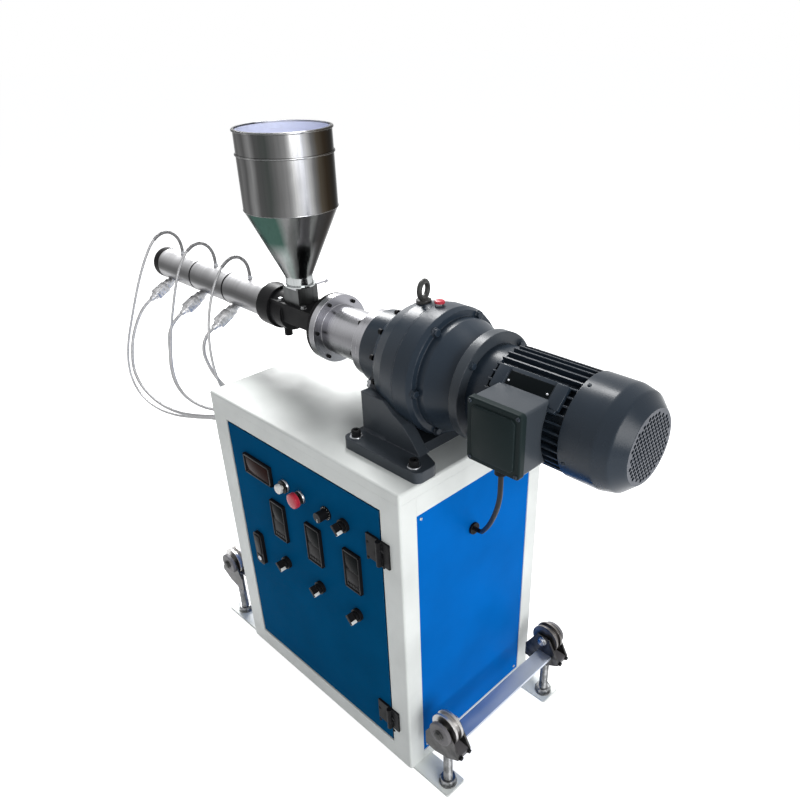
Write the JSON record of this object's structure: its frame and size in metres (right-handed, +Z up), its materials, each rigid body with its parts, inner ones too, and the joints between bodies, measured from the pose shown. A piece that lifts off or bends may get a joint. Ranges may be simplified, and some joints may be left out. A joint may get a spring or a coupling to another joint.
{
  "type": "plastic extruder",
  "caption": "Single-screw laboratory plastic extruder: heated barrel, hopper with slide gate, gearbox and motor on a control cabinet with folding track wheels.",
  "frame": {"origin": "on the floor, at the middle of the cabinet's base plate", "axes": "+X along the screw towards the motor's fan, the control door faces -Y, +Z up"},
  "size_m": [1.432, 0.4358, 1.253],
  "materials": {
    "white_paint": "satin powder coat",
    "blue_paint": "satin powder coat",
    "black_hardware": "satin",
    "black_plastic": "satin",
    "white_plastic": "gloss",
    "red_plastic": "gloss",
    "zinc_steel": "zinc plated",
    "wheel_steel": "turned",
    "dark_steel": "dark, worn",
    "grey_casting": "painted casting",
    "bright_steel": "turned",
    "black_iron": "black oxide",
    "barrel_steel": "nitrided",
    "band_steel": "satin",
    "plug_metal": "cast, satin",
    "polished_stainless": "mirror polish",
    "braided_sleeve": "braided",
    "black_rubber": "satin"
  },
  "bodies": {
    "machine": {"ground_bars": "white_paint", "base_plate": "white_paint", "corner_posts": "white_paint", "cabinet_rails": "white_paint", "cabinet_top": "white_paint", "right_end_panel": "blue_paint", "left_end_panel": "blue_paint", "back_panel": "blue_paint", "hinge_frame_leaves": "black_hardware", "cable_glands": "black_plastic", "jack_bolts": "zinc_steel", "cross_bars": "zinc_steel", "fork_cheeks": "dark_steel", "fork_webs": "dark_steel", "eyebolt": "dark_steel", "gearbox_foot": "grey_casting", "gearbox_casing": "grey_casting", "gearbox_cover": "grey_casting", "motor_flange": "grey_casting", "motor_body": "grey_casting", "fan_cover": "grey_casting", "terminal_box": "grey_casting", "terminal_box_lid": "grey_casting", "output_ring": "grey_casting", "thrust_housing": "bright_steel", "feed_block": "black_iron", "barrel_collar": "black_iron", "barrel": "barrel_steel", "heater_bands": "band_steel", "hopper_throat": "band_steel", "thermocouple_probes": "band_steel", "heater_plugs": "plug_metal", "hopper_cone": "polished_stainless", "hopper_cylinder": "polished_stainless", "heater_lead_1": "braided_sleeve", "heater_lead_2": "braided_sleeve", "heater_lead_3": "braided_sleeve", "probe_lead_1": "braided_sleeve", "probe_lead_2": "braided_sleeve", "probe_lead_3": "braided_sleeve", "motor_cable": "black_rubber"},
    "door": {"door_panel": "blue_paint", "door_stiffeners": "blue_paint", "hinge_door_leaves": "black_hardware", "door_instruments": "black_plastic", "control_bezels": "black_plastic", "door_lock": "black_hardware"},
    "selector_knob_1": {"selector_knob_1": "black_plastic"},
    "selector_knob_2": {"selector_knob_2": "black_plastic"},
    "selector_knob_3": {"selector_knob_3": "black_plastic"},
    "selector_knob_4": {"selector_knob_4": "black_plastic"},
    "speed_knob": {"speed_knob": "black_plastic"},
    "start_button": {"start_button": "white_plastic"},
    "stop_button": {"stop_button": "red_plastic"},
    "wheel_front_right": {"wheel_front_right": "wheel_steel"},
    "wheel_back_right": {"wheel_back_right": "wheel_steel"},
    "wheel_front_left": {"wheel_front_left": "wheel_steel"},
    "wheel_back_left": {"wheel_back_left": "wheel_steel"},
    "slide_gate": {"slide_gate": "bright_steel"}
  },
  "joints": [
    {"name": "door_hinge", "type": "hinge", "parent": "machine", "child": "door", "pos_m": [0.2455, -0.2115, 0.36], "axis": [0, 0, 1], "range_deg": [0, 110]},
    {"name": "selector_knob_1_turn", "type": "hinge", "parent": "door", "child": "selector_knob_1", "pos_m": [-0.08189, -0.204, 0.37617], "axis": [0, -1, 0], "range_deg": [-45, 45]},
    {"name": "selector_knob_2_turn", "type": "hinge", "parent": "door", "child": "selector_knob_2", "pos_m": [0.03888, -0.204, 0.37617], "axis": [0, -1, 0], "range_deg": [-45, 45]},
    {"name": "selector_knob_3_turn", "type": "hinge", "parent": "door", "child": "selector_knob_3", "pos_m": [0.15989, -0.204, 0.37617], "axis": [0, -1, 0], "range_deg": [-45, 45]},
    {"name": "selector_knob_4_turn", "type": "hinge", "parent": "door", "child": "selector_knob_4", "pos_m": [0.14094, -0.204, 0.59467], "axis": [0, -1, 0], "range_deg": [-45, 45]},
    {"name": "speed_knob_turn", "type": "hinge", "parent": "door", "child": "speed_knob", "pos_m": [0.08505, -0.204, 0.59467], "axis": [0, -1, 0], "range_deg": [-135, 135]},
    {"name": "start_button_press", "type": "slide", "parent": "door", "child": "start_button", "axis": [0, 1, 0], "range_m": [0, 0.004], "stiffness_N_per_m": 600},
    {"name": "stop_button_press", "type": "slide", "parent": "door", "child": "stop_button", "axis": [0, 1, 0], "range_m": [0, 0.004], "stiffness_N_per_m": 600},
    {"name": "wheel_front_right_spin", "type": "hinge", "parent": "machine", "child": "wheel_front_right", "pos_m": [0.377, -0.17, 0.185], "axis": [0, 1, 0], "continuous": true},
    {"name": "wheel_back_right_spin", "type": "hinge", "parent": "machine", "child": "wheel_back_right", "pos_m": [0.377, 0.17, 0.185], "axis": [0, 1, 0], "continuous": true},
    {"name": "wheel_front_left_spin", "type": "hinge", "parent": "machine", "child": "wheel_front_left", "pos_m": [-0.397, -0.17, 0.185], "axis": [0, 1, 0], "continuous": true},
    {"name": "wheel_back_left_spin", "type": "hinge", "parent": "machine", "child": "wheel_back_left", "pos_m": [-0.397, 0.17, 0.185], "axis": [0, 1, 0], "continuous": true},
    {"name": "gate_slide", "type": "slide", "parent": "machine", "child": "slide_gate", "axis": [0, 1, 0], "range_m": [0, 0.056]}
  ]
}
